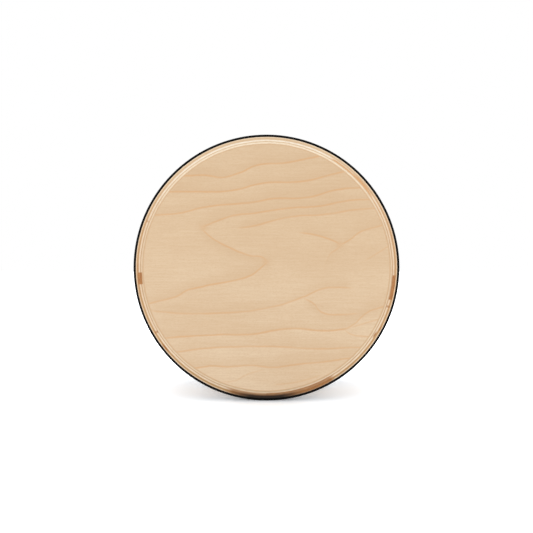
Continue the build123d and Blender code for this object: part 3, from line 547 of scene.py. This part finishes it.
def threaded(start, end, radius, pitch):
    """Rows of a turned length with a helical thread, chamfered where it starts."""
    rows_per_turn = 6
    count = round((end - start) / pitch * rows_per_turn)

    def surface(along):
        """The radius at each angle: flat crests and valleys with slopes between, on a 45 degree chamfer."""
        def at(angle):
            valley = 1 - abs(2 * ((along / pitch + angle / math.tau) % 1.0) - 1)
            cut = THREAD_DEPTH * min(1.0, max(0.0, 1.5 * valley - 0.25))
            return min(radius - cut, radius - 1.5 * THREAD_DEPTH + along - start)
        return at

    spots = [start + i * (end - start) / count for i in range(count + 1)]
    return [(along, surface(along)) for along in spots]


def rounded(start, end, radius, corner):
    """Rows of a plain turned length with both of its edges rounded."""
    angles = [math.radians(22.5 * i) for i in range(5)]
    turns = [(corner * (1 - math.sin(a)), radius - corner * (1 - math.cos(a))) for a in angles]
    return [(start + inset, r) for inset, r in turns[::-1]] + [(end - inset, r) for inset, r in turns]


def fine_piece(body, node):
    """Makes a bmesh into a chromed piece that stands for one CAD node and moves with that node's body."""
    bmesh.ops.recalc_face_normals(body, faces=body.faces)
    mesh = bpy.data.meshes.new("fine_" + node)
    body.to_mesh(mesh)
    body.free()
    mesh.shade_smooth()
    mesh.set_sharp_from_angle(angle=math.radians(40))
    mesh.materials.append(MATERIALS["chrome"])
    made = link(bpy.data.objects.new("fine_" + node, mesh))
    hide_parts(node)
    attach(made, node)


def tension_rod(node, turn):
    """A T-rod with a rolled thread, a flanged collar, a grooved neck and a crossbar with swelled ends."""
    low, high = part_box("tension_rod_1")
    rod_x = (low.x + high.x) / 2
    collar_r = (high.x - low.x) / 2
    half_bar = (high.z - low.z) / 2
    bar_y = high.y - BAR_R
    collar_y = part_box("shell")[1].y + COLLAR_BEHIND_SHELL
    round_drum = Matrix.Translation((0, 0, AXIS_Z)) @ Matrix.Rotation(-turn, 4, "Y")

    def along_rod(along, across, up):
        return round_drum @ Vector((rod_x + across, along, up))

    def along_bar(along, across, up):
        return round_drum @ Vector((rod_x + across, bar_y + up, along))

    body = bmesh.new()
    thread_end = low.y + ROD_THREAD_LENGTH
    lathe(body, threaded(low.y, thread_end, ROD_THREAD_R, ROD_PITCH), along_rod)
    lathe(body, rounded(thread_end - 0.3 * MM, collar_y, ROD_THREAD_R - 0.1 * MM, 0.3 * MM), along_rod)
    lathe(body, rounded(collar_y, collar_y + 1.6 * MM, collar_r, 0.5 * MM), along_rod)
    lathe(body, rounded(collar_y + 1.2 * MM, collar_y + 3.2 * MM, collar_r - 1.3 * MM, 0.6 * MM), along_rod)
    neck_start = collar_y + 3.0 * MM
    stretch = (bar_y - neck_start) / ROD_NECK[-1][0]
    lathe(body, [(neck_start + stretch * along, r * MM) for along, r in ROD_NECK], along_rod)
    scale = half_bar / HALF_BAR[-1][0]
    half = [(along * scale, r * MM) for along, r in HALF_BAR]
    other_half = [(-along, r) for along, r in half[:0:-1]]
    lathe(body, other_half + half, along_bar)
    fine_piece(body, node)


def spur_leg(side):
    """A spur's leg: polished where it slides, with the tip's coarse thread and a ground spike."""
    node = "spur_leg_" + side
    low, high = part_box(node)
    leg_x, leg_z = (low.x + high.x) / 2, (low.z + high.z) / 2
    leg_r = (high.x - low.x) / 2

    def along_leg(along, across, up):
        return (leg_x + across, along, leg_z + up)

    body = bmesh.new()
    spike_start = high.y - SPIKE_LENGTH
    shoulder = spike_start - LEG_THREAD_LENGTH
    lathe(body, rounded(low.y, shoulder, leg_r, 1.0 * MM), along_leg)
    lathe(body, threaded(shoulder - 0.5 * MM, spike_start, LEG_THREAD_R, LEG_PITCH), along_leg)
    lathe(body, [(spike_start + along * MM, r * MM) for along, r in SPIKE], along_leg)
    fine_piece(body, node)


def fine_pieces():
    """The tension rods, one every 60 degrees round the drum, and both spur legs."""
    for number in range(1, 7):
        tension_rod(f"tension_rod_{number}", math.radians(60 * (number - 1)))
    for side in ("left", "right"):
        spur_leg(side)


# ---- studio ----
CAMERA_DISTANCE = 0.95
DISC_IN_VIEW = 0.4991  # how much of the picture's width the drum spans
DROP_IN_VIEW = 0.0020  # how far below the picture's middle its centre lies
FRONT_POWER = 8.0
REAR_POWER = 18.5
FLOOR_SIZE = 30.0  # half its width
FLOOR_GLOW = 0.2  # under the drum. It rises to 1 further out, so that the floor fades into the white room.
FLOOR_TONE = rgb(243, 247, 251)
FLOOR_BOUNCE = rgb(217, 217, 217)  # what the floor throws back at the drum


def camera():
    """A camera on the drum's axis, square to the plate."""
    data = bpy.data.cameras.new("camera")
    rim_distance = CAMERA_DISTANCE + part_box("front_hoop")[0].y - FACE_Y
    data.sensor_width = 36.0
    data.lens = data.sensor_width * DISC_IN_VIEW * rim_distance / (2 * HOOP_R)
    data.shift_y = DROP_IN_VIEW
    data.clip_start = 0.05
    made = link(bpy.data.objects.new("camera", data))
    made.location = (0.0, FACE_Y - CAMERA_DISTANCE, AXIS_Z)
    made.rotation_euler = (math.pi / 2, 0.0, 0.0)
    bpy.context.scene.camera = made


def area_light(name, place, aim, width, height, power):
    """A rectangular soft light that faces the point aim."""
    data = bpy.data.lights.new(name, "AREA")
    data.shape = "RECTANGLE"
    data.size = width
    data.size_y = height
    data.energy = power
    made = link(bpy.data.objects.new(name, data))
    made.location = place
    made.rotation_mode = "QUATERNION"
    made.rotation_quaternion = (Vector(place) - Vector(aim)).to_track_quat("Z", "Y")


def floor():
    """A wide white floor, level with the bottom of the drum."""
    mesh = bpy.data.meshes.new("floor")
    corners = [(x * FLOOR_SIZE, y * FLOOR_SIZE, 0) for x, y in ((-1, -1), (1, -1), (1, 1), (-1, 1))]
    mesh.from_pydata(corners, [], [(0, 1, 2, 3)])
    g = Graph("floor")
    seen = g.node("LightPath", {}).outputs["Is Camera Ray"]
    away = g.node("VectorMath", {0: g.position}, operation="LENGTH").outputs["Value"]
    glow = g.math("MULTIPLY", seen, g.remap(away, 0.12, 0.5, FLOOR_GLOW, 1.0))
    g.set(base_color=g.mix(seen, FLOOR_BOUNCE, FLOOR_TONE), roughness=0.9, specular_ior_level=0.0)
    g.set(emission_color=(1.0, 1.0, 1.0, 1.0), emission_strength=glow)
    mesh.materials.append(g.material)
    link(bpy.data.objects.new("floor", mesh))


def white_surroundings():
    """A plain white room, which lights the drum evenly from all sides."""
    world = bpy.data.worlds.new("studio")
    world.use_nodes = True
    world.node_tree.nodes["Background"].inputs["Color"].default_value = (1.0, 1.0, 1.0, 1.0)
    bpy.context.scene.world = world


def studio():
    """Four soft lights, the floor, the white room and the camera."""
    bpy.context.scene.view_settings.view_transform = "Standard"
    centre = (0.0, 0.0, AXIS_Z)
    for name, side in (("left", -1), ("right", 1)):
        area_light(f"front_{name}", (side * 1.5, -0.9, 0.32), centre, 1.2, 0.9, FRONT_POWER)
        area_light(f"rear_{name}", (side * 1.3, 1.1, 0.6), centre, 1.2, 0.8, REAR_POWER)
    floor()
    white_surroundings()
    camera()


dress_cad_nodes()
fine_pieces()
studio()
